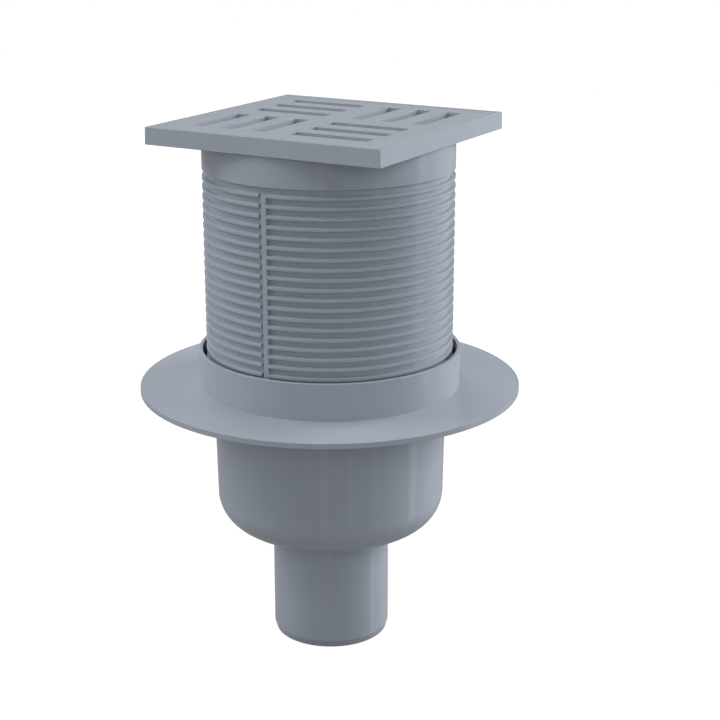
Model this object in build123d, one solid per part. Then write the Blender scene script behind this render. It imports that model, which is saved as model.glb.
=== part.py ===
from build123d import *

from math import degrees, radians, tan
import os

# Vertical gully trap with a height-adjustable riser, in millimetres.
# The origin is the centre of the outlet spigot's open end, +Z is up, and the square
# frame's sides lie along X and Y. Every piece is moulded plastic but the rubber ring.

# Outlet spigot and the standpipe that continues it inside the bowl
SPIGOT_DIAMETER = 50.1
SPIGOT_LENGTH = 50.1
SPIGOT_WALL = 1.85
SPIGOT_LEAD_DEPTH = 0.87
SPIGOT_LEAD_LENGTH = 3.0
WEIR_HEIGHT = 48.0  # standpipe's rim above the bowl's floor
WEIR_ROUND = 0.6

# Bowl
BOWL_INSET = 5.7  # the bowl's outside, just under the flange, lies this far inside the collar's
BOWL_DEPTH = 61.7  # outside, from the flange's underside down
BOWL_WALL = 2.0
BOWL_DRAFT = 1.0  # degrees
BOWL_CORNER = 15.0  # outside radius of the bottom corner
STANDPIPE_FOOT = 1.5  # radius where the standpipe leaves the bowl's floor

# Flange and collar
FLANGE_DIAMETER = 160.0
FLANGE_THICKNESS = 2.2
COLLAR_DIAMETER = 110.0  # the riser, the frame and the bowl take their size from it
COLLAR_WALL = 1.5
COLLAR_HEIGHT = 15.4  # above the flange's top
COLLAR_RIM_ROUND = 0.3
RIB_GAP = 1.65  # between the riser's ribs and the collar's bore
GUIDE_CLEARANCE = 0.3  # between the riser's ribs and the guide below the rubber ring
GUIDE_HEIGHT = 4.2  # from the shoulder up to the rubber ring's ledge

# Rubber ring in the collar
SEAL_HEIGHT = 6.7
SEAL_CLEARANCE = 0.08  # to the collar's wall outside, and to the ribs inside
SEAL_BACK = 0.75  # radial thickness of the ring's back
SEAL_LIP = 1.1  # height of a lip at the ring's back
SEAL_LIP_DROP = 1.0  # a lip's tip lies this much lower than its root
SEAL_LIP_TIP = 0.35
SEAL_LIP_COUNT = 2

# Riser tube
RISER_WALL = 2.0
RISER_LENGTH = 110.5  # from its lower end to the grate's top
RISER_LEAD = 0.6  # chamfer at its lower end
RIB_PROTRUSION = 1.55
RIB_PITCH = 4.0
RIB_LAND = 1.2
RIB_ROOT = 2.0
RIB_END_SPACE = 3.5  # at least this much below the lowest rib's middle
FIRST_RIB_DEPTH = 22.55  # topmost rib's middle below the frame's top
BAND_DEPTH = 19.1  # lower edge of the smooth band below the frame's top

# Upright bar at the mould's parting, where the ribs stop short of it on one side
BAR_START_ANGLE = -89.7
BAR_WIDTH = 2.0
BAR_GAP = 1.2
BAR_COUNT = 2

# Square frame on the riser
FRAME_OVERHANG = 1.2  # the frame's foot stands out this far past the ribs
FRAME_DRAFT = 1.2  # degrees; its sides lean in towards the top
FRAME_HEIGHT = 7.0
FRAME_RIM = 2.45
FRAME_LEDGE_WIDTH = 5.0  # ledge that carries the grate
FRAME_FLOOR = 2.0  # floor of the shallow well inside the ledge
FRAME_CORNER = 0.5
FRAME_EDGE_ROUND = 0.15

# Grate
GRATE_THICKNESS = 3.4
GRATE_CLEARANCE = 0.15
GRATE_CORNER = 1.0
GRATE_BEVEL_WIDTH = 1.6
GRATE_BEVEL_DEPTH = 0.25
SLOT_WIDTH = 6.6
SLOT_PITCH = 14.0
SLOT_LENGTH = 34.6
SLOT_OFFSET = 5.65  # from the middle lines to the nearest slot
SLOT_COUNT = 3  # in each quarter
GRATE_RIB_THICKNESS = 2.0
GRATE_RIB_DEPTH = 3.0
GRATE_RIB_CLEARANCE = 1.5  # from the rib's end to the riser's bore

# Trap bell over the standpipe
BELL_PASSAGE = 8.0  # radial way between the standpipe and the bell
BELL_WALL = 1.6
BELL_FOOT_GAP = 8.0  # from the bowl's floor up to the bell's rim
BELL_HEADROOM = 8.0  # from the weir up to the bell's crown, inside
BELL_CROWN = 1.8
BELL_SHOULDER = 6.0
BELL_RIM_BAND = 1.0  # the stiff band round the bell's open rim stands out this far
BELL_RIM_BAND_HEIGHT = 3.0
SPACER_COUNT = 4
SPACER_THICKNESS = 1.6
SPACER_LEG = 20.0  # length of a spacer below the weir
SPACER_CLEARANCE = 0.3
SPACER_OVERHANG = 0.7  # how far a spacer reaches in past the standpipe's bore
GRIP_WIDTH = 30.0
GRIP_HEIGHT = 15.0
GRIP_THICKNESS = 3.0
GRIP_BAR = 3.5
GRIP_ROUND = 5.0

# Heights and radii that follow from the sizes above
BOWL_BOTTOM = SPIGOT_LENGTH
FLANGE_UNDERSIDE = BOWL_BOTTOM + BOWL_DEPTH
SHOULDER = FLANGE_UNDERSIDE + FLANGE_THICKNESS
COLLAR_RIM = SHOULDER + COLLAR_HEIGHT
SEAL_LEDGE = SHOULDER + GUIDE_HEIGHT
BOWL_FLOOR = BOWL_BOTTOM + BOWL_WALL
WEIR = BOWL_FLOOR + WEIR_HEIGHT
TOP = SHOULDER + RISER_LENGTH
FRAME_UNDERSIDE = TOP - FRAME_HEIGHT
LEDGE = TOP - GRATE_THICKNESS

SPIGOT_RADIUS = SPIGOT_DIAMETER / 2
OUTLET_RADIUS = SPIGOT_RADIUS - SPIGOT_WALL
COLLAR_RADIUS = COLLAR_DIAMETER / 2
COLLAR_BORE = COLLAR_RADIUS - COLLAR_WALL
BOWL_RADIUS = COLLAR_RADIUS - BOWL_INSET
RIB_CREST = COLLAR_BORE - RIB_GAP
RIB_COUNT = int((RISER_LENGTH - FIRST_RIB_DEPTH - RIB_END_SPACE) / RIB_PITCH) + 1
RISER_ROOT = RIB_CREST - RIB_PROTRUSION
RISER_BORE = RISER_ROOT - RISER_WALL
FRAME_SIDE = 2 * (RIB_CREST + FRAME_OVERHANG)
FRAME_TOP_SIDE = FRAME_SIDE - 2 * FRAME_HEIGHT * tan(radians(FRAME_DRAFT))
GRATE_SIDE = FRAME_TOP_SIDE - 2 * FRAME_RIM - 2 * GRATE_CLEARANCE
BELL_BORE = SPIGOT_RADIUS + BELL_PASSAGE
BELL_RADIUS = BELL_BORE + BELL_WALL
BELL_RIM = BOWL_FLOOR + BELL_FOOT_GAP
BELL_CEILING = WEIR + BELL_HEADROOM
BELL_TOP = BELL_CEILING + BELL_CROWN


def lathe(points: list, rounds: list = ()) -> Part:
    """Turn a closed outline about Z.

    Args:
        points: Corners of the outline as (radius, height).
        rounds: Pairs of a corner and its rounding radius.

    Returns:
        The solid of revolution.
    """
    outline = make_face(Polyline(*points, close=True))
    for corner, radius in rounds:
        vertex = outline.vertices().sort_by_distance(Vector(*corner))[0]
        outline = fillet(vertex, radius)
    return revolve(Plane.XZ * outline, Axis.Z)


def ring_sector(inner: float, outer: float, low: float, high: float, start: float, arc: float) -> Part:
    """A piece of a ring.

    Args:
        inner: Inside radius.
        outer: Outside radius.
        low: Height of its lower face.
        high: Height of its upper face.
        start: Angle at which it begins, in degrees from +X.
        arc: Angle that it covers, in degrees.

    Returns:
        The sector as a solid.
    """
    section = make_face(Polyline((inner, low), (outer, low), (outer, high), (inner, high), close=True))
    return Rot(0, 0, start) * revolve(Plane.XZ * section, Axis.Z, revolution_arc=arc)


def make_drain_body() -> Part:
    """Spigot, bowl, standpipe, flange and collar, moulded in one piece."""
    slope = tan(radians(BOWL_DRAFT))
    bowl_foot = BOWL_RADIUS - BOWL_DEPTH * slope
    bowl_bore_top = BOWL_RADIUS - BOWL_WALL
    bowl_bore_foot = bowl_bore_top - (SHOULDER - BOWL_FLOOR) * slope
    guide = RIB_CREST + GUIDE_CLEARANCE
    flange_radius = FLANGE_DIAMETER / 2
    outside_corner = (bowl_foot, BOWL_BOTTOM)
    inside_corner = (bowl_bore_foot, BOWL_FLOOR)
    standpipe_foot = (SPIGOT_RADIUS, BOWL_FLOOR)
    weir_outside = (SPIGOT_RADIUS, WEIR)
    weir_inside = (OUTLET_RADIUS, WEIR)
    rim_outside = (COLLAR_RADIUS, COLLAR_RIM)
    points = [
        (OUTLET_RADIUS, 0),
        (SPIGOT_RADIUS - SPIGOT_LEAD_DEPTH, 0),
        (SPIGOT_RADIUS, SPIGOT_LEAD_LENGTH),
        (SPIGOT_RADIUS, BOWL_BOTTOM),
        outside_corner,
        (BOWL_RADIUS, FLANGE_UNDERSIDE),
        (flange_radius, FLANGE_UNDERSIDE),
        (flange_radius, SHOULDER),
        (COLLAR_RADIUS, SHOULDER),
        rim_outside,
        (COLLAR_BORE, COLLAR_RIM),
        (COLLAR_BORE, SEAL_LEDGE),
        (guide, SEAL_LEDGE),
        (guide, SHOULDER),
        (bowl_bore_top, SHOULDER),
        inside_corner,
        standpipe_foot,
        weir_outside,
        weir_inside,
    ]
    rounds = [
        (outside_corner, BOWL_CORNER),
        (inside_corner, BOWL_CORNER - BOWL_WALL),
        (standpipe_foot, STANDPIPE_FOOT),
        (weir_outside, WEIR_ROUND),
        (weir_inside, WEIR_ROUND),
        (rim_outside, COLLAR_RIM_ROUND),
    ]
    return lathe(points, rounds)


def make_collar_seal() -> Part:
    """Rubber ring on the collar's ledge, with lips that slope down to the riser's ribs."""
    outside = COLLAR_BORE - SEAL_CLEARANCE
    back = outside - SEAL_BACK
    tip = RIB_CREST + SEAL_CLEARANCE
    top = SEAL_LEDGE + SEAL_HEIGHT
    lip_pitch = (SEAL_HEIGHT - SEAL_LIP) / SEAL_LIP_COUNT
    points = [(back, SEAL_LEDGE), (outside, SEAL_LEDGE), (outside, top)]
    for index in range(SEAL_LIP_COUNT):
        root_top = top - index * lip_pitch
        tip_top = root_top - SEAL_LIP_DROP
        points.append((back, root_top))
        points.append((tip, tip_top))
        points.append((tip, tip_top - SEAL_LIP_TIP))
        points.append((back, root_top - SEAL_LIP))
    return lathe(points)


def riser_tube() -> Part:
    """Tube with ring ribs down its length and a smooth band under the frame."""
    points = [
        (RISER_BORE, SHOULDER),
        (RISER_ROOT - RISER_LEAD, SHOULDER),
        (RISER_ROOT, SHOULDER + RISER_LEAD),
    ]
    for index in reversed(range(RIB_COUNT)):
        middle = TOP - FIRST_RIB_DEPTH - index * RIB_PITCH
        points.append((RISER_ROOT, middle - RIB_ROOT / 2))
        points.append((RIB_CREST, middle - RIB_LAND / 2))
        points.append((RIB_CREST, middle + RIB_LAND / 2))
        points.append((RISER_ROOT, middle + RIB_ROOT / 2))
    band_foot = TOP - BAND_DEPTH
    points.append((RISER_ROOT, band_foot))
    points.append((RIB_CREST, band_foot))
    points.append((RIB_CREST, FRAME_UNDERSIDE))
    points.append((RISER_BORE, FRAME_UNDERSIDE))
    return lathe(points)


def part_the_ribs(tube: Part) -> Part:
    """Stop the ribs short of an upright bar, on two opposite sides.

    Args:
        tube: The ribbed tube.

    Returns:
        The tube with its gaps and bars.
    """
    low = SHOULDER + RISER_LEAD
    high = TOP - FIRST_RIB_DEPTH + RIB_ROOT / 2
    bar_arc = degrees(BAR_WIDTH / RIB_CREST)
    gap_arc = degrees(BAR_GAP / RIB_CREST)
    for index in range(BAR_COUNT):
        start = BAR_START_ANGLE + index * 360 / BAR_COUNT
        tube -= ring_sector(RISER_ROOT, RIB_CREST + RIB_PROTRUSION, low, high, start - gap_arc, gap_arc)
        tube += ring_sector(RISER_BORE + RISER_WALL / 2, RIB_CREST, low, high, start, bar_arc)
    return tube


def riser_frame() -> Part:
    """Square frame with a recess for the grate and a shallow well that drains its corners."""
    recess_side = GRATE_SIDE + 2 * GRATE_CLEARANCE
    well_side = recess_side - 2 * FRAME_LEDGE_WIDTH
    well_floor = FRAME_UNDERSIDE + FRAME_FLOOR
    outline = RectangleRounded(FRAME_SIDE, FRAME_SIDE, FRAME_CORNER)
    frame = Pos(0, 0, FRAME_UNDERSIDE) * extrude(outline, FRAME_HEIGHT, taper=FRAME_DRAFT)
    frame = fillet(frame.faces().sort_by(Axis.Z)[-1].edges(), FRAME_EDGE_ROUND)
    frame -= Pos(0, 0, LEDGE) * extrude(Rectangle(recess_side, recess_side), GRATE_THICKNESS)
    return frame - Pos(0, 0, well_floor) * extrude(Rectangle(well_side, well_side), LEDGE - well_floor)


def make_riser() -> Part:
    """Ribbed riser and its square frame, moulded in one piece."""
    bore = Pos(0, 0, FRAME_UNDERSIDE) * extrude(Circle(RISER_BORE), FRAME_HEIGHT)
    return part_the_ribs(riser_tube()) + (riser_frame() - bore)


def slot_pattern() -> Sketch:
    """Slots of one quarter along Y, turned by a right angle from quarter to quarter."""
    middle_y = SLOT_OFFSET + SLOT_LENGTH / 2
    quarter = Sketch()
    for index in range(SLOT_COUNT):
        middle_x = SLOT_OFFSET + SLOT_WIDTH / 2 + index * SLOT_PITCH
        quarter += Pos(middle_x, middle_y) * Rectangle(SLOT_WIDTH, SLOT_LENGTH)
    pattern = Sketch()
    for turn in range(4):
        pattern += Rot(0, 0, 90 * turn) * quarter
    return pattern


def make_grate() -> Part:
    """Square grate that lies in the frame, stiffened by a cross of ribs underneath."""
    plate = extrude(Rectangle(GRATE_SIDE, GRATE_SIDE), GRATE_THICKNESS)
    upper_face = plate.faces().sort_by(Axis.Z)[-1]
    plate = chamfer(upper_face.edges(), GRATE_BEVEL_WIDTH, GRATE_BEVEL_DEPTH, reference=upper_face)
    plate &= extrude(RectangleRounded(GRATE_SIDE, GRATE_SIDE, GRATE_CORNER), GRATE_THICKNESS)
    plate -= extrude(slot_pattern(), GRATE_THICKNESS)
    rib_length = 2 * (RISER_BORE - GRATE_RIB_CLEARANCE)
    cross = Rectangle(rib_length, GRATE_RIB_THICKNESS) + Rectangle(GRATE_RIB_THICKNESS, rib_length)
    plate += extrude(cross, -GRATE_RIB_DEPTH)
    return Pos(0, 0, LEDGE) * plate


def bell_spacer() -> Part:
    """One web that hangs the bell on the standpipe's rim and keeps it central."""
    inside = OUTLET_RADIUS - SPACER_OVERHANG
    leg = SPIGOT_RADIUS + SPACER_CLEARANCE
    shoulder = Vector(BELL_BORE + BELL_WALL / 2, BELL_CEILING + BELL_CROWN / 2)
    points = [
        (inside, WEIR),
        (leg, WEIR),
        (leg, WEIR - SPACER_LEG),
        (shoulder.X, WEIR - SPACER_LEG),
        shoulder,
        (inside, shoulder.Y),
    ]
    web = make_face(Polyline(*points, close=True))
    web = fillet(web.vertices().sort_by_distance(shoulder)[0], BELL_SHOULDER - BELL_WALL / 2)
    return extrude(Plane.XZ * web, SPACER_THICKNESS / 2, both=True)


def bell_grip() -> Part:
    """Upright loop on the bell's crown to lift it by."""
    buried = BELL_CROWN / 2
    height = GRIP_HEIGHT + buried
    loop = Pos(0, height / 2) * Rectangle(GRIP_WIDTH, height)
    loop = fillet(loop.vertices().group_by(Axis.Y)[-1], GRIP_ROUND)
    hole_width = GRIP_WIDTH - 2 * GRIP_BAR
    hole_height = height - buried - GRIP_BAR
    hole = Pos(0, buried + hole_height / 2) * Rectangle(hole_width, hole_height)
    hole = fillet(hole.vertices().group_by(Axis.Y)[-1], GRIP_ROUND - GRIP_BAR)
    upright = Plane.XZ * (loop - hole)
    return Pos(0, 0, BELL_TOP - buried) * extrude(upright, GRIP_THICKNESS / 2, both=True)


def make_trap_bell() -> Part:
    """Upturned cup that dips into the bowl's water round the standpipe."""
    crown_outside = (BELL_RADIUS, BELL_TOP)
    crown_inside = (BELL_BORE, BELL_CEILING)
    band_top = BELL_RIM + BELL_RIM_BAND_HEIGHT
    points = [
        (0, BELL_CEILING),
        crown_inside,
        (BELL_BORE, BELL_RIM),
        (BELL_RADIUS + BELL_RIM_BAND, BELL_RIM),
        (BELL_RADIUS + BELL_RIM_BAND, band_top),
        (BELL_RADIUS, band_top + BELL_RIM_BAND),
        crown_outside,
        (0, BELL_TOP),
    ]
    rounds = [(crown_outside, BELL_SHOULDER), (crown_inside, BELL_SHOULDER - BELL_WALL)]
    bell = lathe(points, rounds) + bell_grip()
    for index in range(SPACER_COUNT):
        bell += Rot(0, 0, (index + 0.5) * 360 / SPACER_COUNT) * bell_spacer()
    return bell


def main() -> None:
    """Build every piece and write it to its own file."""
    os.makedirs("parts", exist_ok=True)
    pieces = {
        "drain_body": make_drain_body(),
        "collar_seal": make_collar_seal(),
        "riser": make_riser(),
        "grate": make_grate(),
        "trap_bell": make_trap_bell(),
    }
    for name, piece in pieces.items():
        piece.label = name
        export_step(piece, f"parts/{name}.step")


main()
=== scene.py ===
"""Looks of a vertical gully trap in grey moulded plastic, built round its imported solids."""

import sys
import logging
import math
from dataclasses import dataclass, field
from enum import Enum
from typing import Any

import bpy
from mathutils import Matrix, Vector


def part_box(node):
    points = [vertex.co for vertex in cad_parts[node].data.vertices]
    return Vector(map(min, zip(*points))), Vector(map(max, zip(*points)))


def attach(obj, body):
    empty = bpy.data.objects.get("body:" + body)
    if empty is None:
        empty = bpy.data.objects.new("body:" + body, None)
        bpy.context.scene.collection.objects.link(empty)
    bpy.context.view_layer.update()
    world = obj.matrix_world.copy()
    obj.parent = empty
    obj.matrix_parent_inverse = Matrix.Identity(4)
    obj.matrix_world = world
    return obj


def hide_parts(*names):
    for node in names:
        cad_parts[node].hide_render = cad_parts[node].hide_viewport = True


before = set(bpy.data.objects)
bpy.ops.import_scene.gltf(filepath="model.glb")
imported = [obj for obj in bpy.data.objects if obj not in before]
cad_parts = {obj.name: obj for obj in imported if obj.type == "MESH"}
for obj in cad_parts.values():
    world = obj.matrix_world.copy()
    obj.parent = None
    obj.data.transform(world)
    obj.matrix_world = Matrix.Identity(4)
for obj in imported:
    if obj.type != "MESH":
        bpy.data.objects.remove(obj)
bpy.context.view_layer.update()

log = logging.getLogger("gully")

# Sizes of the pieces are in millimetres and angles in degrees, unless a docstring says otherwise.
MM = 0.001
SEGMENTS = 256  # round a full turn of a turned piece
ROUND_STEPS = 4  # fewest faces in a rounded corner of a section
ROUND_FACE = 0.6  # longest face in a rounded corner of a section
ANGLE_DIGITS = 9  # so that an angle reached in two ways counts once
QUARTERS = 4  # corners of a square, and quarters of the slot pattern
BEVEL_STEPS = 2  # faces in an edge that a bevel rounds
BEVEL_ANGLE = 40.0  # a bevel rounds the edges that turn by more than this
FACE_WEIGHT = 100  # lets the larger faces settle the shading

Point = tuple[float, float, float]


class Body(Enum):
    """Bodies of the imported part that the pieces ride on."""

    BASE = "base"
    RING = "ring"
    RISER = "riser_unit"


class Slot(Enum):
    """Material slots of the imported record."""

    PLASTIC = "grey_plastic"
    RUBBER = "black_rubber"


class Loop(Enum):
    """Plan of one loop of a hollow section."""

    CIRCLE = "circle"
    SQUARE = "square"


class Use(Enum):
    """What a lamp is there for."""

    SPREAD = "soft light on the object"
    MIRRORED = "streaks in the object's gloss"


def grey(level: float) -> tuple[float, float, float, float]:
    """Opaque grey of one linear level."""
    return (level, level, level, 1.0)


def plain_mesh(name: str, vertices: list[Point], faces: list[list[int]]) -> bpy.types.Mesh:
    """Make a mesh from its vertices and faces.

    Args:
        name: Name of the new mesh.
        vertices: Places in metres.
        faces: Numbers of the vertices round each face.

    Returns:
        The mesh.
    """
    mesh = bpy.data.meshes.new(name)
    mesh.from_pydata(vertices, [], faces)
    mesh.validate()
    return mesh


def heights_of(node: str) -> tuple[float, float]:
    """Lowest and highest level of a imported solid.

    Args:
        node: Name of the solid.

    Returns:
        The two heights in millimetres.
    """
    low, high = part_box(node)
    return low.z / MM, high.z / MM


@dataclass(frozen=True)
class Corner:
    """A corner of a section, in millimetres.

    Args:
        reach: Radius of a circular loop, or half the side of a square one.
        height: Level above the spigot's end.
        rounding: Radius that softens the corner.
        plan: Shape of the loop seen from above.
    """

    reach: float
    height: float
    rounding: float = 0.0
    plan: Loop = Loop.CIRCLE


class Section:
    """A closed hollow section that becomes a mesh when carried round the Z axis."""

    def __init__(self, corners: list[Corner], plan_corner: float = 0.0) -> None:
        """Keep the corners in order.

        Args:
            corners: The section's corners, in order.
            plan_corner: Radius of the upright edges of its square loops.
        """
        self.corners = corners
        self.plan_corner = plan_corner

    def softened(self) -> list[Corner]:
        """Replace each corner that has a rounding by points of an arc.

        Returns:
            The section's points, with the plan of the corner that each came from.
        """
        points: list[Corner] = []
        count = len(self.corners)
        for index, corner in enumerate(self.corners):
            here = Vector((corner.reach, corner.height))
            before = self.corners[index - 1]
            after = self.corners[(index + 1) % count]
            back = Vector((before.reach, before.height)) - here
            ahead = Vector((after.reach, after.height)) - here
            if corner.rounding <= 0 or back.length == 0 or ahead.length == 0:
                points.append(corner)
                continue
            points += self.arc(corner, here, back.normalized(), ahead.normalized())
        return points

    @staticmethod
    def arc(corner: Corner, here: Vector, back: Vector, ahead: Vector) -> list[Corner]:
        """Points of the arc that rounds one corner.

        Args:
            corner: The corner that is rounded.
            here: Its place.
            back: Unit direction to the corner before it.
            ahead: Unit direction to the corner after it.

        Returns:
            Points from the first tangent point to the last.
        """
        half = back.angle(ahead) / 2
        reach = corner.rounding / math.tan(half)
        centre = here + (back + ahead).normalized() * (corner.rounding / math.sin(half))
        start = here + back * reach - centre
        turn = math.pi - 2 * half
        if start.x * (ahead.y - back.y) - start.y * (ahead.x - back.x) < 0:
            turn = -turn
        steps = max(ROUND_STEPS, math.ceil(corner.rounding * abs(turn) / ROUND_FACE))
        points = []
        for step in range(steps + 1):
            angle = turn * step / steps
            spoke = Vector((
                start.x * math.cos(angle) - start.y * math.sin(angle),
                start.x * math.sin(angle) + start.y * math.cos(angle),
            ))
            place = centre + spoke
            points.append(Corner(place.x, place.y, plan=corner.plan))
        return points

    def angles(self) -> list[float]:
        """Polar angles that every loop shares, closer together at a square's corners.

        Returns:
            The angles in radians, from the smallest up.
        """
        angles = {round(2 * math.pi * index / SEGMENTS, ANGLE_DIGITS) for index in range(SEGMENTS)}
        if any(corner.plan is Loop.SQUARE for corner in self.corners):
            reach = max(corner.reach for corner in self.corners)
            spread = self.plan_corner / reach / 2
            for quarter in range(QUARTERS):
                middle = math.pi / 4 + quarter * math.pi / 2
                for step in range(-ROUND_STEPS, ROUND_STEPS + 1):
                    angles.add(round(middle + spread * step / ROUND_STEPS, ANGLE_DIGITS))
        return sorted(angles)

    def distance(self, point: Corner, angle: float) -> float:
        """Distance from the axis to a loop along one polar angle.

        Args:
            point: The loop's point of the section.
            angle: Polar angle in radians.

        Returns:
            The distance in millimetres.
        """
        if point.plan is Loop.CIRCLE:
            return point.reach
        across = max(abs(math.cos(angle)), abs(math.sin(angle)))
        along = min(abs(math.cos(angle)), abs(math.sin(angle)))
        flat = point.reach / across
        rounding = self.plan_corner
        inner = point.reach - rounding
        if rounding == 0 or flat * along <= inner:
            return flat
        to_centre = inner * (across + along)
        return to_centre + math.sqrt(max(to_centre**2 - 2 * inner**2 + rounding**2, 0))

    def mesh(self, name: str, closed: bool = True) -> bpy.types.Mesh:
        """Carry the section round the axis.

        Args:
            name: Name of the new mesh.
            closed: Whether the last loop joins the first. If not, a flat face fills each of the two.

        Returns:
            A closed mesh in metres.
        """
        points = self.softened()
        angles = self.angles()
        around = len(angles)
        vertices: list[Point] = []
        loops: list[list[int]] = []
        for point in points:
            loops.append(list(range(len(vertices), len(vertices) + around)))
            for angle in angles:
                distance = self.distance(point, angle) * MM
                x, y = distance * math.cos(angle), distance * math.sin(angle)
                vertices.append((x, y, point.height * MM))
        faces = []
        rows = len(loops) if closed else len(loops) - 1
        if not closed:
            faces.append(loops[0][::-1])
            faces.append(loops[-1])
        for row in range(rows):
            below, above = loops[row], loops[(row + 1) % len(loops)]
            for column in range(around):
                following = (column + 1) % around
                faces.append([below[column], below[following], above[following], above[column]])
        return plain_mesh(name, vertices, faces)


class Recipe:
    """A Geometry Nodes tree with named inputs."""

    def __init__(self, name: str, inputs: dict[str, str]) -> None:
        """Make an empty tree.

        Args:
            name: Name of the tree.
            inputs: Kind of socket for each input's label.
        """
        self.group = bpy.data.node_groups.new(name, "GeometryNodeTree")
        self.identifiers: dict[str, str] = {}
        for label, kind in inputs.items():
            socket = self.group.interface.new_socket(label, in_out="INPUT", socket_type=kind)
            self.identifiers[label] = socket.identifier
        self.group.interface.new_socket("Geometry", in_out="OUTPUT", socket_type="NodeSocketGeometry")
        self.source = self.group.nodes.new("NodeGroupInput")
        self.result = self.group.nodes.new("NodeGroupOutput")

    def add(self, kind: str, feeds: dict[Any, Any] | None = None, **settings: Any) -> bpy.types.Node:
        """Add one node.

        Args:
            kind: Type of the node.
            feeds: What goes into its inputs: a node, a socket, an input's label or a value.
            settings: Attributes of the node.

        Returns:
            The node.
        """
        node = self.group.nodes.new(kind)
        for key, value in settings.items():
            setattr(node, key, value)
        for socket, origin in (feeds or {}).items():
            self.feed(node.inputs[socket], origin)
        return node

    def feed(self, target: bpy.types.NodeSocket, origin: Any) -> None:
        """Link or set one input socket.

        Args:
            target: The socket.
            origin: A node, a socket, an input's label or a value.
        """
        if isinstance(origin, bpy.types.Node):
            origin = origin.outputs[0]
        if isinstance(origin, str):
            origin = self.source.outputs[origin]
        if isinstance(origin, bpy.types.NodeSocket):
            self.group.links.new(origin, target)
        else:
            target.default_value = origin

    def math(self, operation: str, first: Any, second: Any) -> bpy.types.Node:
        """Add a sum or product of two values."""
        return self.add("ShaderNodeMath", {0: first, 1: second}, operation=operation)

    def spread(self, shape: Any) -> bpy.types.Node:
        """Repeat a shape round the axis, as often as the input named Copies says.

        Args:
            shape: The node or socket that gives the shape.

        Returns:
            The node that gives all copies.
        """
        points = self.add("GeometryNodeMeshLine", {"Count": "Copies", "Offset": (0.0, 0.0, 0.0)})
        index = self.add("GeometryNodeInputIndex")
        turn = self.math("DIVIDE", self.math("MULTIPLY", index, 2 * math.pi), "Copies")
        spin = self.add("ShaderNodeCombineXYZ", {"Z": turn})
        return self.add("GeometryNodeInstanceOnPoints", {
            "Points": points, "Instance": shape, "Rotation": spin,
        })

    def finish(self, shape: bpy.types.Node) -> None:
        """End the tree: instances are made real and take their material.

        Args:
            shape: The node that gives the shape.
        """
        real = self.add("GeometryNodeRealizeInstances", {0: shape})
        smooth = self.add("GeometryNodeSetShadeSmooth", {0: real})
        dressed = self.add("GeometryNodeSetMaterial", {"Geometry": smooth, "Material": "Material"})
        self.feed(self.result.inputs[0], dressed)

    def bake(self, name: str, values: dict[str, Any]) -> bpy.types.Object:
        """Run the tree and keep its result as a plain mesh.

        Args:
            name: Name of the new object.
            values: Value for each input's label.

        Returns:
            The object, with no modifier.
        """
        carrier = bpy.data.objects.new(name, bpy.data.meshes.new(name))
        bpy.context.scene.collection.objects.link(carrier)
        modifier = carrier.modifiers.new("recipe", "NODES")
        modifier.node_group = self.group
        for label, value in values.items():
            modifier[self.identifiers[label]] = value
        graph = bpy.context.evaluated_depsgraph_get()
        mesh = bpy.data.meshes.new_from_object(carrier.evaluated_get(graph), depsgraph=graph)
        carrier.modifiers.clear()
        carrier.data = mesh
        mesh.name = name
        return carrier


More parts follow.
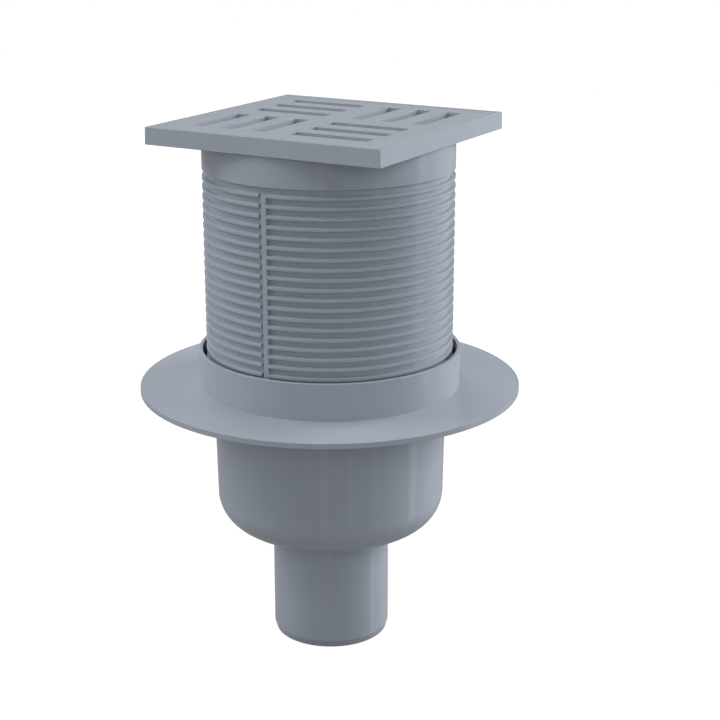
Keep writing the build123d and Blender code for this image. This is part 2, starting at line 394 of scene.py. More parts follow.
@dataclass(frozen=True)
class MouldedPlastic:
    """Semi-gloss moulded plastic with faint mottling and a fine moulded skin.

    Args:
        name: Name of the material.
        colour: Main colour, linear.
        shade: Colour of the mottling's darker patches, linear.
        roughness: Mean roughness.
        sheen_spread: How far the roughness wanders to each side.
        mottle_size: Patches to a metre.
        mottle_detail: Finer layers in the mottling.
        skin_size: Bumps of the skin to a metre.
        skin_detail: Finer layers in the skin.
        skin_height: Height of the skin's bumps, in millimetres.
        skin_depth: Strength of the skin's bumps.
        refraction: Index of refraction.
    """

    name: str = "grey_polypropylene"
    colour: tuple[float, float, float] = (0.403, 0.450, 0.517)
    shade: tuple[float, float, float] = (0.387, 0.432, 0.499)
    roughness: float = 0.08
    sheen_spread: float = 0.015
    mottle_size: float = 45.0
    mottle_detail: float = 4.0
    skin_size: float = 1800.0
    skin_detail: float = 2.0
    skin_height: float = 0.1
    skin_depth: float = 0.01
    refraction: float = 1.49

    def material(self) -> bpy.types.Material:
        """Build the material.

        Returns:
            The material, which reads each piece's own Object coordinates.
        """
        material = bpy.data.materials.new(self.name)
        material.use_nodes = True
        nodes, links = material.node_tree.nodes, material.node_tree.links
        shader = nodes["Principled BSDF"]
        shader.inputs["IOR"].default_value = self.refraction
        place = nodes.new("ShaderNodeTexCoord")
        mottle = nodes.new("ShaderNodeTexNoise")
        mottle.inputs["Scale"].default_value = self.mottle_size
        mottle.inputs["Detail"].default_value = self.mottle_detail
        links.new(place.outputs["Object"], mottle.inputs["Vector"])
        tint = nodes.new("ShaderNodeMix")
        tint.data_type = "RGBA"
        tint.inputs["A"].default_value = (*self.shade, 1.0)
        tint.inputs["B"].default_value = (*self.colour, 1.0)
        links.new(mottle.outputs["Fac"], tint.inputs["Factor"])
        links.new(tint.outputs["Result"], shader.inputs["Base Color"])
        gloss = nodes.new("ShaderNodeMapRange")
        gloss.inputs["To Min"].default_value = self.roughness - self.sheen_spread
        gloss.inputs["To Max"].default_value = self.roughness + self.sheen_spread
        links.new(mottle.outputs["Fac"], gloss.inputs["Value"])
        links.new(gloss.outputs["Result"], shader.inputs["Roughness"])
        skin = nodes.new("ShaderNodeTexNoise")
        skin.inputs["Scale"].default_value = self.skin_size
        skin.inputs["Detail"].default_value = self.skin_detail
        links.new(place.outputs["Object"], skin.inputs["Vector"])
        bump = nodes.new("ShaderNodeBump")
        bump.inputs["Strength"].default_value = self.skin_depth
        bump.inputs["Distance"].default_value = self.skin_height * MM
        links.new(skin.outputs["Fac"], bump.inputs["Height"])
        links.new(bump.outputs["Normal"], shader.inputs["Normal"])
        return material


@dataclass(frozen=True)
class MouldedRubber(MouldedPlastic):
    """Matt black rubber of the sealing ring."""

    name: str = "black_rubber"
    colour: tuple[float, float, float] = (0.012, 0.012, 0.012)
    shade: tuple[float, float, float] = (0.009, 0.009, 0.009)
    roughness: float = 0.6
    skin_depth: float = 0.1


def place_mesh(mesh: bpy.types.Mesh, material: bpy.types.Material) -> bpy.types.Object:
    """Put a mesh in the scene with its material and smooth shading.

    Args:
        mesh: The mesh, whose name the object takes.
        material: The material of all its faces.

    Returns:
        The object, at the origin.
    """
    mesh.materials.append(material)
    mesh.polygons.foreach_set("use_smooth", [True] * len(mesh.polygons))
    piece = bpy.data.objects.new(mesh.name, mesh)
    bpy.context.scene.collection.objects.link(piece)
    return piece


def soften(piece: bpy.types.Object, width: float) -> None:
    """Round the moulded edges of a piece.

    Args:
        piece: The piece.
        width: Width of the rounding, in millimetres.
    """
    modifier = piece.modifiers.new("moulded_edges", "BEVEL")
    modifier.width = width * MM
    modifier.segments = BEVEL_STEPS
    modifier.limit_method = "ANGLE"
    modifier.angle_limit = math.radians(BEVEL_ANGLE)
    modifier.harden_normals = True


def slab(name: str, corners: list[Corner], thickness: float) -> bpy.types.Mesh:
    """Flat piece that stands in the XZ plane, half of it on each side.

    Args:
        name: Name of the new mesh.
        corners: Its outline, anticlockwise as seen from -Y, with X as the reach.
        thickness: Thickness in millimetres.

    Returns:
        A closed mesh in metres.
    """
    outline = Section(corners).softened()
    count = len(outline)
    vertices = []
    for side in (-0.5, 0.5):
        vertices += [(point.reach * MM, side * thickness * MM, point.height * MM) for point in outline]
    faces = [list(range(count)), list(range(2 * count - 1, count - 1, -1))]
    for index in range(count):
        following = (index + 1) % count
        faces.append([index, index + count, following + count, following])
    return plain_mesh(name, vertices, faces)


def even_normals(piece: bpy.types.Object) -> None:
    """Shade flat faces flat and let only the rounded edges turn the light.

    Args:
        piece: The piece.
    """
    modifier = piece.modifiers.new("even_normals", "WEIGHTED_NORMAL")
    modifier.weight = FACE_WEIGHT
    modifier.keep_sharp = True


def hand_over(piece: bpy.types.Object, body: Body, replaced: str = "") -> None:
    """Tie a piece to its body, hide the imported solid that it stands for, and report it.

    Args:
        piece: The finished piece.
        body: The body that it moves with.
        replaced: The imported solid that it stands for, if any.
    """
    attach(piece, body.value)
    if replaced:
        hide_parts(replaced)
    log.info("%s: %d faces on body %s", piece.name, len(piece.data.polygons), body.value)


@dataclass
class DrainBody:
    """Bowl with its spigot, standpipe, flange and collar, moulded in one piece."""

    plastic: bpy.types.Material
    spigot_radius: float = 25.05
    spigot_wall: float = 1.85
    lead_depth: float = 0.87
    lead_length: float = 3.0
    bowl_radius: float = 49.3
    bowl_wall: float = 2.0
    bowl_draft: float = 1.0
    bowl_corner: float = 15.0
    bowl_bottom: float = 50.1
    flange_radius: float = 80.0
    flange_thickness: float = 2.2
    collar_radius: float = 55.0
    collar_wall: float = 1.5
    collar_height: float = 15.4
    guide_radius: float = 52.15
    guide_height: float = 4.2
    weir_height: float = 48.0
    foot_round: float = 1.5
    rim_round: float = 0.3
    edge_round: float = 0.12

    def section(self) -> Section:
        """Section of the moulding, from the spigot's bore round and back.

        Returns:
            The section.
        """
        _, rim = heights_of("drain_body")
        shoulder = rim - self.collar_height
        underside = shoulder - self.flange_thickness
        floor = self.bowl_bottom + self.bowl_wall
        weir = floor + self.weir_height
        slope = math.tan(math.radians(self.bowl_draft))
        outlet = self.spigot_radius - self.spigot_wall
        bowl_foot = self.bowl_radius - (underside - self.bowl_bottom) * slope
        bore_top = self.bowl_radius - self.bowl_wall
        bore_foot = bore_top - (shoulder - floor) * slope
        collar_bore = self.collar_radius - self.collar_wall
        ledge = shoulder + self.guide_height
        edge = self.edge_round
        return Section([
            Corner(outlet, 0, edge),
            Corner(self.spigot_radius - self.lead_depth, 0, edge),
            Corner(self.spigot_radius, self.lead_length, 2 * edge),
            Corner(self.spigot_radius, self.bowl_bottom, edge),
            Corner(bowl_foot, self.bowl_bottom, self.bowl_corner),
            Corner(self.bowl_radius, underside, edge),
            Corner(self.flange_radius, underside, edge),
            Corner(self.flange_radius, shoulder, edge),
            Corner(self.collar_radius, shoulder, edge),
            Corner(self.collar_radius, rim, self.rim_round),
            Corner(collar_bore, rim, edge),
            Corner(collar_bore, ledge, edge),
            Corner(self.guide_radius, ledge, edge),
            Corner(self.guide_radius, shoulder, edge),
            Corner(bore_top, shoulder, edge),
            Corner(bore_foot, floor, self.bowl_corner - self.bowl_wall),
            Corner(self.spigot_radius, floor, self.foot_round),
            Corner(self.spigot_radius, weir, 2 * edge),
            Corner(outlet, weir, 2 * edge),
        ])

    def build(self) -> None:
        """Make the moulding and hand it over."""
        piece = place_mesh(self.section().mesh("drain_moulding"), self.plastic)
        even_normals(piece)
        hand_over(piece, Body.BASE, "drain_body")


@dataclass
class CollarSeal:
    """Rubber ring in the collar, with two lips against the riser."""

    rubber: bpy.types.Material
    outer_radius: float = 53.42
    back_radius: float = 52.67
    tip_radius: float = 51.93
    lip_height: float = 1.1
    lip_drop: float = 1.0
    lip_tip: float = 0.35
    lip_count: int = 2
    edge_round: float = 0.1

    def build(self) -> None:
        """Make the ring and hand it over."""
        low, top = heights_of("collar_seal")
        pitch = (top - low - self.lip_height) / self.lip_count
        edge = self.edge_round
        corners = [Corner(self.back_radius, low, edge), Corner(self.outer_radius, low, edge)]
        corners.append(Corner(self.outer_radius, top, edge))
        for index in range(self.lip_count):
            root = top - index * pitch
            tip = root - self.lip_drop
            corners.append(Corner(self.back_radius, root, edge))
            corners.append(Corner(self.tip_radius, tip, edge))
            corners.append(Corner(self.tip_radius, tip - self.lip_tip, edge))
            corners.append(Corner(self.back_radius, root - self.lip_height, edge))
        piece = place_mesh(Section(corners).mesh("lip_ring"), self.rubber)
        even_normals(piece)
        hand_over(piece, Body.RING, "collar_seal")


@dataclass
class Riser:
    """Ribbed tube with the square frame on top."""

    plastic: bpy.types.Material
    bore_radius: float = 48.3
    root_radius: float = 50.3
    crest_radius: float = 51.85
    lead: float = 0.6
    band_depth: float = 19.1
    first_rib_depth: float = 22.55
    rib_pitch: float = 4.0
    rib_land: float = 1.2
    rib_root: float = 2.0
    rib_count: int = 22
    rib_round: float = 0.12
    rib_round_steps: int = 2
    bar_angle: float = -89.7
    bar_width: float = 2.3
    bar_gap: float = 1.0
    bar_count: int = 2
    bar_round: float = 0.35
    bar_round_steps: int = 4
    frame_half: float = 52.9
    frame_foot_half: float = 53.05
    frame_height: float = 7.0
    frame_rim: float = 2.45
    frame_corner: float = 0.5
    frame_round: float = 0.3
    grate_thickness: float = 3.4
    ledge_width: float = 5.0
    frame_floor: float = 2.0
    edge_round: float = 0.12
    bury: float = 0.3
    low: float = field(init=False)
    top: float = field(init=False)

    def __post_init__(self) -> None:
        """Take the riser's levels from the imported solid."""
        self.low, self.top = heights_of("riser")

    def bar_middle(self) -> float:
        """Polar angle of the first bar's middle, in radians."""
        return math.radians(self.bar_angle) + self.bar_width / self.crest_radius / 2

    def shell(self) -> bpy.types.Object:
        """Tube, smooth band and square frame as one mesh.

        Returns:
            The piece.
        """
        top, edge = self.top, self.edge_round
        underside = top - self.frame_height
        recess = self.frame_half - self.frame_rim
        well = recess - self.ledge_width
        ledge = top - self.grate_thickness
        floor = underside + self.frame_floor
        band_foot = top - self.band_depth
        square = Loop.SQUARE
        section = Section([
            Corner(self.bore_radius, self.low, edge),
            Corner(self.root_radius - self.lead, self.low, edge),
            Corner(self.root_radius, self.low + self.lead, edge),
            Corner(self.root_radius, band_foot, edge),
            Corner(self.crest_radius, band_foot, edge),
            Corner(self.crest_radius, underside, edge),
            Corner(self.frame_foot_half, underside, edge, square),
            Corner(self.frame_half, top, self.frame_round, square),
            Corner(recess, top, edge, square),
            Corner(recess, ledge, edge, square),
            Corner(well, ledge, edge, square),
            Corner(well, floor, edge, square),
            Corner(self.bore_radius, floor, edge),
        ], self.frame_corner)
        return place_mesh(section.mesh("riser_shell"), self.plastic)

    def rib_recipe(self) -> Recipe:
        """Ring ribs that stop short of each upright bar.

        Returns:
            The tree, ready to run.
        """
        length, angle, whole = "NodeSocketFloat", "NodeSocketFloat", "NodeSocketInt"
        recipe = Recipe("ring_ribs", {
            "Count": whole, "Pitch": length, "Top Level": length, "Root Radius": length,
            "Crest Radius": length, "Land": length, "Root Width": length, "Edge": length,
            "Start": angle, "Sweep": angle, "Copies": whole, "Steps": whole,
            "Material": "NodeSocketMaterial",
        })
        protrusion = recipe.math("SUBTRACT", "Crest Radius", "Root Radius")
        middle = recipe.math("MULTIPLY", recipe.math("ADD", "Crest Radius", "Root Radius"), 0.5)
        path = recipe.add("GeometryNodeCurveArc", {
            "Resolution": "Steps", "Radius": middle, "Start Angle": "Start", "Sweep Angle": "Sweep",
        }, mode="RADIUS")
        profile = recipe.add("GeometryNodeCurvePrimitiveQuadrilateral", {
            "Height": protrusion, "Bottom Width": "Root Width", "Top Width": "Land", "Offset": 0.0,
        }, mode="TRAPEZOID")
        softened = recipe.add("GeometryNodeFilletCurve", {
            "Curve": profile, "Radius": "Edge", "Count": self.rib_round_steps, "Limit Radius": True,
        }, mode="POLY")
        outward = recipe.add("GeometryNodeTransform", {
            "Geometry": softened, "Rotation": (0.0, 0.0, -math.pi / 2),
        })
        rib = recipe.add("GeometryNodeCurveToMesh", {
            "Curve": path, "Profile Curve": outward, "Fill Caps": True,
        })
        drop = recipe.add("ShaderNodeCombineXYZ", {"Z": recipe.math("MULTIPLY", "Pitch", -1.0)})
        start = recipe.add("ShaderNodeCombineXYZ", {"Z": "Top Level"})
        levels = recipe.add("GeometryNodeMeshLine", {
            "Count": "Count", "Start Location": start, "Offset": drop,
        }, mode="OFFSET")
        stack = recipe.add("GeometryNodeInstanceOnPoints", {"Points": levels, "Instance": rib})
        recipe.finish(recipe.spread(stack))
        return recipe

    def bar_recipe(self) -> Recipe:
        """Upright bars on the tube.

        Returns:
            The tree, ready to run.
        """
        recipe = Recipe("upright_bars", {
            "Radius": "NodeSocketFloat", "Width": "NodeSocketFloat", "Depth": "NodeSocketFloat",
            "Low": "NodeSocketFloat", "High": "NodeSocketFloat", "Edge": "NodeSocketFloat",
            "Copies": "NodeSocketInt", "Material": "NodeSocketMaterial",
        })
        low = recipe.add("ShaderNodeCombineXYZ", {"X": "Radius", "Z": "Low"})
        high = recipe.add("ShaderNodeCombineXYZ", {"X": "Radius", "Z": "High"})
        path = recipe.add("GeometryNodeCurvePrimitiveLine", {"Start": low, "End": high})
        profile = recipe.add("GeometryNodeCurvePrimitiveQuadrilateral", {
            "Width": "Depth", "Height": "Width",
        }, mode="RECTANGLE")
        softened = recipe.add("GeometryNodeFilletCurve", {
            "Curve": profile, "Radius": "Edge", "Count": self.bar_round_steps, "Limit Radius": True,
        }, mode="POLY")
        bar = recipe.add("GeometryNodeCurveToMesh", {
            "Curve": path, "Profile Curve": softened, "Fill Caps": True,
        })
        recipe.finish(recipe.spread(bar))
        return recipe

    def ribs(self) -> bpy.types.Object:
        """Run the recipe for the ribs.

        Returns:
            The ribs of every sector as one piece.
        """
        gap = (self.bar_gap + self.bar_width / 2) / self.crest_radius
        return self.rib_recipe().bake("riser_ribs", {
            "Count": self.rib_count,
            "Pitch": self.rib_pitch * MM,
            "Top Level": (self.top - self.first_rib_depth) * MM,
            "Root Radius": (self.root_radius - self.bury) * MM,
            "Crest Radius": self.crest_radius * MM,
            "Land": self.rib_land * MM,
            "Root Width": self.rib_root * MM,
            "Edge": self.rib_round * MM,
            "Start": self.bar_middle(),
            "Sweep": 2 * math.pi / self.bar_count - gap,
            "Copies": self.bar_count,
            "Steps": SEGMENTS // self.bar_count,
            "Material": self.plastic,
        })

    def bars(self) -> bpy.types.Object:
        """Run the recipe for the bars and turn them to their place.

        Returns:
            All bars as one piece.
        """
        depth = self.crest_radius - self.root_radius + self.bury
        high = self.top - self.first_rib_depth + self.rib_root / 2
        piece = self.bar_recipe().bake("riser_bars", {
            "Radius": (self.crest_radius - depth / 2) * MM,
            "Width": self.bar_width * MM,
            "Depth": depth * MM,
            "Low": (self.low + self.lead) * MM,
            "High": high * MM,
            "Edge": self.bar_round * MM,
            "Copies": self.bar_count,
            "Material": self.plastic,
        })
        cosine, sine = math.cos(self.bar_middle()), math.sin(self.bar_middle())
        for vertex in piece.data.vertices:
            x, y, z = vertex.co
            vertex.co = (x * cosine - y * sine, x * sine + y * cosine, z)
        return piece

    def build(self) -> None:
        """Make the riser's pieces and hand them over."""
        shell = self.shell()
        even_normals(shell)
        hand_over(shell, Body.RISER, "riser")
        for piece in (self.ribs(), self.bars()):
            even_normals(piece)
            hand_over(piece, Body.RISER)


@dataclass
class Grate:
    """Square plate with a quarter-turned slot pattern and a cross of ribs underneath."""

    plastic: bpy.types.Material
    half: float = 50.3
    corner: float = 1.0
    thickness: float = 3.4
    bevel_width: float = 1.6
    bevel_depth: float = 0.12
    slot_width: float = 6.6
    slot_pitch: float = 14.0
    slot_length: float = 34.6
    slot_offset: float = 5.65
    slot_count: int = 3
    cutter_reach: float = 3.0  # length of the cutters, in thicknesses of the plate
    rib_half: float = 46.8
    rib_thickness: float = 2.0
    edge_round: float = 0.15

    def plate(self) -> bpy.types.Object:
        """Plate with its sloped border, before the slots.

        Returns:
            The blank that the slots are cut from.
        """
        _, top = heights_of("grate")
        underside = top - self.thickness
        square = Loop.SQUARE
        section = Section([
            Corner(self.half, underside, 0, square),
            Corner(self.half, top - self.bevel_depth, 0, square),
            Corner(self.half - self.bevel_width, top, 0, square),
        ], self.corner)
        return place_mesh(section.mesh("grate_blank", closed=False), self.plastic)

    def slot_recipe(self) -> Recipe:
        """Cut the slots of four quarters out of a plate.

        Returns:
            The tree, ready to run.
        """
        recipe = Recipe("slot_pattern", {
            "Plate": "NodeSocketObject", "Count": "NodeSocketInt", "Pitch": "NodeSocketFloat",
            "Offset": "NodeSocketFloat", "Width": "NodeSocketFloat", "Length": "NodeSocketFloat",
            "Depth": "NodeSocketFloat", "Level": "NodeSocketFloat", "Material": "NodeSocketMaterial",
        })
        plate = recipe.add("GeometryNodeObjectInfo", {"Object": "Plate"})
        size = recipe.add("ShaderNodeCombineXYZ", {"X": "Width", "Y": "Length", "Z": "Depth"})
        cutter = recipe.add("GeometryNodeMeshCube", {"Size": size})
        half_width = recipe.math("MULTIPLY", "Width", 0.5)
        half_length = recipe.math("MULTIPLY", "Length", 0.5)
        start = recipe.add("ShaderNodeCombineXYZ", {
            "X": recipe.math("ADD", "Offset", half_width),
            "Y": recipe.math("ADD", "Offset", half_length),
            "Z": "Level",
        })
        step = recipe.add("ShaderNodeCombineXYZ", {"X": "Pitch"})
        places = recipe.add("GeometryNodeMeshLine", {
            "Count": "Count", "Start Location": start, "Offset": step,
        }, mode="OFFSET")
        quarter = recipe.add("GeometryNodeInstanceOnPoints", {"Points": places, "Instance": cutter})
        corners = recipe.add("GeometryNodeMeshLine", {"Count": QUARTERS, "Offset": (0.0, 0.0, 0.0)})
        index = recipe.add("GeometryNodeInputIndex")
        quarter_turn = recipe.math("MULTIPLY", index, 2 * math.pi / QUARTERS)
        turn = recipe.add("ShaderNodeCombineXYZ", {"Z": quarter_turn})
        pattern = recipe.add("GeometryNodeInstanceOnPoints", {
            "Points": corners, "Instance": quarter, "Rotation": turn,
        })
        cutters = recipe.add("GeometryNodeRealizeInstances", {0: pattern})
        cut = recipe.add("GeometryNodeMeshBoolean", {
            0: plate.outputs["Geometry"],
        }, operation="DIFFERENCE", solver="EXACT")
        recipe.feed(cut.inputs[1], cutters)
        recipe.finish(cut)
        return recipe

    def cross(self) -> bpy.types.Object:
        """Two crossed ribs under the plate.

        Returns:
            The piece.
        """
        low, top = heights_of("grate")
        high = top - self.thickness / 2
        long, short = self.rib_half * MM, self.rib_thickness / 2 * MM
        vertices, faces = [], []
        for half_x, half_y in ((long, short), (short, long)):
            base = len(vertices)
            for level in (low * MM, high * MM):
                for sign_x, sign_y in ((-1, -1), (1, -1), (1, 1), (-1, 1)):
                    vertices.append((sign_x * half_x, sign_y * half_y, level))
            faces.append([base + index for index in (3, 2, 1, 0)])
            faces.append([base + index for index in (4, 5, 6, 7)])
            for index in range(4):
                following = (index + 1) % 4
                faces.append([base + index, base + following, base + following + 4, base + index + 4])
        return place_mesh(plain_mesh("grate_cross", vertices, faces), self.plastic)

    def build(self) -> None:
        """Make the grate and hand it over."""
        _, top = heights_of("grate")
        blank = self.plate()
        piece = self.slot_recipe().bake("grate_plate", {
            "Plate": blank,
            "Count": self.slot_count,
            "Pitch": self.slot_pitch * MM,
            "Offset": self.slot_offset * MM,
            "Width": self.slot_width * MM,
            "Length": self.slot_length * MM,
            "Depth": self.cutter_reach * self.thickness * MM,
            "Level": (top - self.thickness / 2) * MM,
            "Material": self.plastic,
        })
        bpy.data.objects.remove(blank)
        soften(piece, self.edge_round)
        hand_over(piece, Body.RISER, "grate")
        cross = self.cross()
        soften(cross, self.edge_round)
        hand_over(cross, Body.RISER)


@dataclass
class TrapBell:
    """Upturned cup that hangs on the standpipe by four webs, with a grip on its crown."""

    plastic: bpy.types.Material
    bore_radius: float = 33.05
    wall: float = 1.6
    crown: float = 1.8
    shoulder_round: float = 6.0
    rim_band: float = 1.0
    rim_band_height: float = 3.0
    weir_depth: float = 8.0
    web_count: int = 4
    web_thickness: float = 1.6
    web_leg: float = 20.0
    web_inside: float = 22.5
    web_outside: float = 25.35
    grip_width: float = 30.0
    grip_height: float = 15.0
    grip_thickness: float = 3.0
    grip_bar: float = 3.5
    grip_round: float = 5.0
    middle_cap: float = 4.0
    edge_round: float = 0.15
    low: float = field(init=False)
    crown_top: float = field(init=False)
    ceiling: float = field(init=False)

    def __post_init__(self) -> None:
        """Take the bell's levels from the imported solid."""
        self.low, top = heights_of("trap_bell")
        self.crown_top = top - self.grip_height
        self.ceiling = self.crown_top - self.crown

    def cup(self) -> bpy.types.Object:
        """Wall and crown of the cup.

        Returns:
            The piece.
        """
        radius = self.bore_radius + self.wall
        band = radius + self.rim_band
        band_top = self.low + self.rim_band_height
        edge = self.edge_round
        section = Section([
            Corner(self.middle_cap, self.ceiling),
            Corner(self.bore_radius, self.ceiling, self.shoulder_round - self.wall),
            Corner(self.bore_radius, self.low, edge),
            Corner(band, self.low, edge),
            Corner(band, band_top, edge),
            Corner(radius, band_top + self.rim_band, edge),
            Corner(radius, self.crown_top, self.shoulder_round),
            Corner(self.middle_cap, self.crown_top),
        ])
        return place_mesh(section.mesh("bell_cup", closed=False), self.plastic)

    def web(self) -> bpy.types.Object:
        """One web between the standpipe and the cup.

        Returns:
            The blank that the recipe repeats.
        """
        weir = self.ceiling - self.weir_depth
        foot = weir - self.web_leg
        reach = self.bore_radius + self.wall / 2
        high = self.ceiling + self.crown / 2
        return place_mesh(slab("web_blank", [
            Corner(self.web_inside, high),
            Corner(self.web_inside, weir),
            Corner(self.web_outside, weir),
            Corner(self.web_outside, foot),
            Corner(reach, foot),
            Corner(reach, high, self.shoulder_round - self.wall / 2),
        ], self.web_thickness), self.plastic)

    def webs(self) -> bpy.types.Object:
        """Run the recipe that spreads the web round the axis, between the frame's sides.

        Returns:
            All webs as one piece.
        """
        recipe = Recipe("bell_webs", {
            "Web": "NodeSocketObject", "Copies": "NodeSocketInt", "Turn": "NodeSocketFloat",
            "Material": "NodeSocketMaterial",
        })
        blank = recipe.add("GeometryNodeObjectInfo", {"Object": "Web"})
        turn = recipe.add("ShaderNodeCombineXYZ", {"Z": "Turn"})
        turned = recipe.add("GeometryNodeTransform", {0: blank.outputs["Geometry"], "Rotation": turn})
        recipe.finish(recipe.spread(turned))
        web = self.web()
        piece = recipe.bake("bell_webs", {
            "Web": web,
            "Copies": self.web_count,
            "Turn": math.pi / self.web_count,
            "Material": self.plastic,
        })
        bpy.data.objects.remove(web)
        return piece

    def grip(self) -> bpy.types.Object:
        """Upright loop to lift the bell by.

        Returns:
            The piece.
        """
        half = self.grip_width / 2
        inner = half - self.grip_bar
        root = self.crown_top - self.crown / 2
        high = self.crown_top + self.grip_height
        under = high - self.grip_bar
        inner_round = self.grip_round - self.grip_bar
        return place_mesh(slab("bell_grip", [
            Corner(half, root),
            Corner(half, high, self.grip_round),
            Corner(-half, high, self.grip_round),
            Corner(-half, root),
            Corner(-inner, root),
            Corner(-inner, under, inner_round),
            Corner(inner, under, inner_round),
            Corner(inner, root),
        ], self.grip_thickness), self.plastic)

    def build(self) -> None:
        """Make the bell's pieces and hand them over."""
        cup = self.cup()
        even_normals(cup)
        hand_over(cup, Body.BASE, "trap_bell")
        for piece in (self.webs(), self.grip()):
            soften(piece, self.edge_round)
            hand_over(piece, Body.BASE)


@dataclass(frozen=True)
class Lamp:
    """A soft panel lamp that looks at the object.

    Args:
        name: Name of the lamp.
        azimuth: Side that it stands on, in degrees from -Y towards +X.
        elevation: Height over the horizon, in degrees.
        width: Width of the panel, in metres.
        height: Height of the panel, in metres.
        power: Power in watts.
        use: Whether it lights the object or is only mirrored in it.
        distance: Distance from the object's middle, in metres.
    """

    name: str
    azimuth: float
    elevation: float
    width: float
    height: float
    power: float
    use: Use = Use.SPREAD
    distance: float = 1.6


@dataclass
class Studio:
    """Camera, lamps, floor and surroundings, with places and lengths in metres.

    Args:
        camera_place: Where the camera stands.
        camera_view: Direction that it looks in.
        lens: Focal length in millimetres.
        sensor: Width of the sensor in millimetres.
        clip_near: Nearest distance that the camera sees.
        clip_far: Farthest distance that the camera sees.
        middle: Point that the lamps look at.
        lamps: The lamps.
        world_strength: Strength of the even glow that the surroundings give.
        gloss_share: Share of the white surroundings that the object's gloss mirrors.
        floor_bounce: Grey of the floor for the light that it sends back up.
        floor_half: Half the floor's side.
        floor_shadow: Grey of the floor for the shadow that is seen on it.
        floor_lift: White added to that grey close to the object.
        fade_start: Distance from the axis where the floor starts to fade into the white.
        fade_end: Distance where it is all white.
    """

    camera_place: tuple[float, float, float] = (0.3291, -0.5550, 0.3236)
    camera_view: tuple[float, float, float] = (-0.4706, 0.8305, -0.2979)
    lens: float = 79.70
    sensor: float = 36.0
    clip_near: float = 0.01
    clip_far: float = 50.0
    middle: tuple[float, float, float] = (0.0, 0.0, 0.12)
    lamps: tuple[Lamp, ...] = (
        Lamp("key_panel", 146, 18, 0.47, 0.6, 7.8, Use.SPREAD, 0.9),
        Lamp("right_panel", 95, 22, 0.84, 0.7, 1.6),
        Lamp("right_front_panel", 65, 22, 0.84, 0.7, 1.4),
        Lamp("front_right_panel", 30, 16, 0.84, 0.9, 3.4),
        Lamp("front_left_panel", -50, 16, 0.84, 0.9, 3.8),
        Lamp("left_panel", -80, 6, 0.84, 1.0, 2.2),
        Lamp("rear_left_panel", -135, 22, 0.84, 0.7, 13.5),
        Lamp("raised_left_panel", -72, 36, 0.9, 0.8, 10.5),
        Lamp("raised_right_rear_panel", 112, 30, 0.9, 0.8, 5.4),
        Lamp("high_front_panel", 0, 65, 0.8, 0.8, 7.2),
        Lamp("front_left_strip", 8, -8, 0.1, 2.2, 0.12, Use.MIRRORED),
        Lamp("front_strip", 24, -8, 0.2, 2.2, 0.35, Use.MIRRORED),
        Lamp("front_right_strip", 50, -8, 0.06, 2.2, 0.12, Use.MIRRORED),
        Lamp("right_strip", 75, -8, 0.1, 2.2, 0.2, Use.MIRRORED),
        Lamp("right_rear_strip", 121, -8, 0.24, 2.2, 1.0, Use.MIRRORED),
    )
    world_strength: float = 0.004
    gloss_share: float = 0.3
    floor_bounce: float = 0.28
    floor_half: float = 1.6
    floor_shadow: float = 0.1
    floor_lift: float = 0.96
    fade_start: float = 0.3
    fade_end: float = 0.9

    def camera(self) -> None:
        """Stand the camera where the photograph was taken from."""
        data = bpy.data.cameras.new("camera")
        data.lens = self.lens
        data.sensor_width = self.sensor
        data.clip_start = self.clip_near
        data.clip_end = self.clip_far
        camera = bpy.data.objects.new("camera", data)
        camera.location = self.camera_place
        camera.rotation_mode = "QUATERNION"
        camera.rotation_quaternion = Vector(self.camera_view).to_track_quat("-Z", "Y")
        bpy.context.scene.collection.objects.link(camera)
        bpy.context.scene.camera = camera

    def light(self) -> None:
        """Hang the lamps."""
        middle = Vector(self.middle)
        for lamp in self.lamps:
            data = bpy.data.lights.new(lamp.name, "AREA")
            data.shape = "RECTANGLE"
            data.size = lamp.width
            data.size_y = lamp.height
            data.energy = lamp.power
            azimuth, elevation = math.radians(lamp.azimuth), math.radians(lamp.elevation)
            outward = Vector((
                math.sin(azimuth) * math.cos(elevation),
                -math.cos(azimuth) * math.cos(elevation),
                math.sin(elevation),
            ))
            holder = bpy.data.objects.new(lamp.name, data)
            holder.location = middle + outward * lamp.distance
            holder.rotation_mode = "QUATERNION"
            holder.rotation_quaternion = (-outward).to_track_quat("-Z", "Y")
            holder.visible_camera = False
            holder.visible_diffuse = lamp.use is Use.SPREAD
            holder.visible_glossy = lamp.use is Use.MIRRORED
            bpy.context.scene.collection.objects.link(holder)

    def looked_at(self, tree: bpy.types.NodeTree) -> bpy.types.NodeSocket:
        """Tell what is seen or mirrored from what only gives light.

        Args:
            tree: Node tree of the world or of a material.

        Returns:
            A socket that is 1 for a ray from the camera or through a clear wall, gloss_share for
            a mirrored ray and otherwise 0.
        """
        rays = tree.nodes.new("ShaderNodeLightPath")
        dimmed = tree.nodes.new("ShaderNodeMath")
        dimmed.operation = "MULTIPLY"
        dimmed.inputs[1].default_value = self.gloss_share
        tree.links.new(rays.outputs["Is Glossy Ray"], dimmed.inputs[0])
        seen = dimmed.outputs[0]
        for kind in ("Is Camera Ray", "Is Transmission Ray"):
            either = tree.nodes.new("ShaderNodeMath")
            either.operation = "MAXIMUM"
            tree.links.new(seen, either.inputs[0])
            tree.links.new(rays.outputs[kind], either.inputs[1])
            seen = either.outputs[0]
        return seen

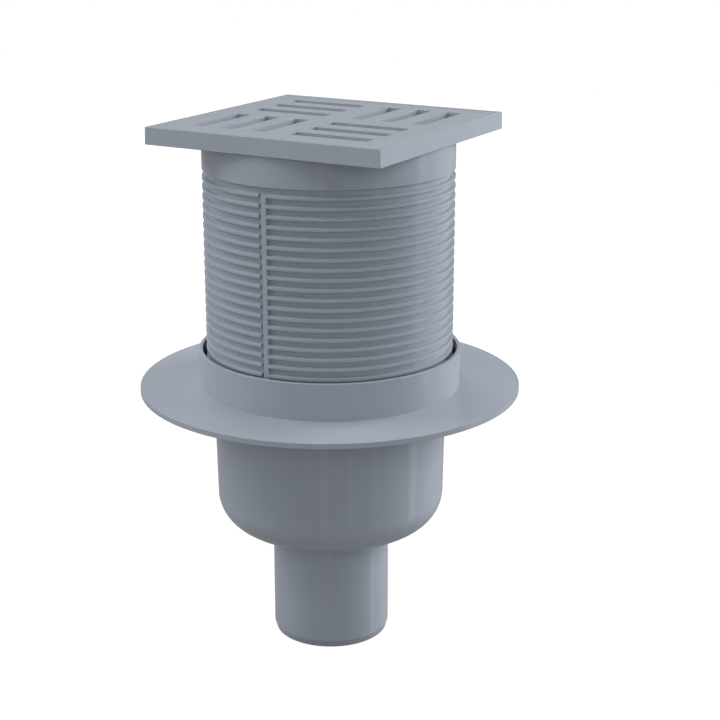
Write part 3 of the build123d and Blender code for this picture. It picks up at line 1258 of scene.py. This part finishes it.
    def surroundings(self) -> None:
        """White surroundings to look at, a plain grey glow as light."""
        world = bpy.data.worlds.new("surroundings")
        bpy.context.scene.world = world
        world.use_nodes = True
        nodes, links = world.node_tree.nodes, world.node_tree.links
        glow = nodes["Background"]
        glow.inputs["Color"].default_value = grey(1.0)
        glow.inputs["Strength"].default_value = self.world_strength
        white = nodes.new("ShaderNodeBackground")
        white.inputs["Color"].default_value = grey(1.0)
        white.inputs["Strength"].default_value = 1.0
        choice = nodes.new("ShaderNodeMixShader")
        links.new(self.looked_at(world.node_tree), choice.inputs["Fac"])
        links.new(glow.outputs["Background"], choice.inputs[1])
        links.new(white.outputs["Background"], choice.inputs[2])
        links.new(choice.outputs["Shader"], nodes["World Output"].inputs["Surface"])

    def floor_finish(self) -> bpy.types.Material:
        """Finish that keeps a faint shadow near the object and fades into the white.

        Returns:
            The material.
        """
        material = bpy.data.materials.new("floor")
        material.use_nodes = True
        nodes, links = material.node_tree.nodes, material.node_tree.links
        nodes.remove(nodes["Principled BSDF"])
        pale = nodes.new("ShaderNodeBsdfDiffuse")
        pale.inputs["Color"].default_value = grey(self.floor_bounce)
        shaded = nodes.new("ShaderNodeBsdfDiffuse")
        shaded.inputs["Color"].default_value = grey(self.floor_shadow)
        lift = nodes.new("ShaderNodeEmission")
        place = nodes.new("ShaderNodeTexCoord")
        away = nodes.new("ShaderNodeVectorMath")
        away.operation = "LENGTH"
        links.new(place.outputs["Object"], away.inputs[0])
        fade = nodes.new("ShaderNodeMapRange")
        fade.inputs["From Min"].default_value = self.fade_start
        fade.inputs["From Max"].default_value = self.fade_end
        fade.inputs["To Min"].default_value = self.floor_lift
        fade.inputs["To Max"].default_value = 1.0
        links.new(away.outputs["Value"], fade.inputs["Value"])
        links.new(fade.outputs["Result"], lift.inputs["Strength"])
        white = nodes.new("ShaderNodeAddShader")
        choice = nodes.new("ShaderNodeMixShader")
        links.new(shaded.outputs["BSDF"], white.inputs[0])
        links.new(lift.outputs["Emission"], white.inputs[1])
        links.new(self.looked_at(material.node_tree), choice.inputs["Fac"])
        links.new(pale.outputs["BSDF"], choice.inputs[1])
        links.new(white.outputs["Shader"], choice.inputs[2])
        links.new(choice.outputs["Shader"], nodes["Material Output"].inputs["Surface"])
        return material

    def floor(self) -> None:
        """Lay the floor under the spigot."""
        half = self.floor_half
        corners = [(-half, -half, 0.0), (half, -half, 0.0), (half, half, 0.0), (-half, half, 0.0)]
        floor = place_mesh(plain_mesh("floor", corners, [[0, 1, 2, 3]]), self.floor_finish())
        floor.visible_glossy = False

    def build(self) -> None:
        """Set the whole studio up."""
        bpy.context.scene.view_settings.view_transform = "Standard"
        self.camera()
        self.light()
        self.surroundings()
        self.floor()


def main() -> None:
    """Build every piece in order."""
    logging.basicConfig(level=logging.INFO, format="%(message)s", stream=sys.stdout)
    plastic = MouldedPlastic().material()
    rubber = MouldedRubber().material()
    Studio().build()
    DrainBody(plastic).build()
    CollarSeal(rubber).build()
    Riser(plastic).build()
    Grate(plastic).build()
    TrapBell(plastic).build()


if __name__ == "__main__":
    main()
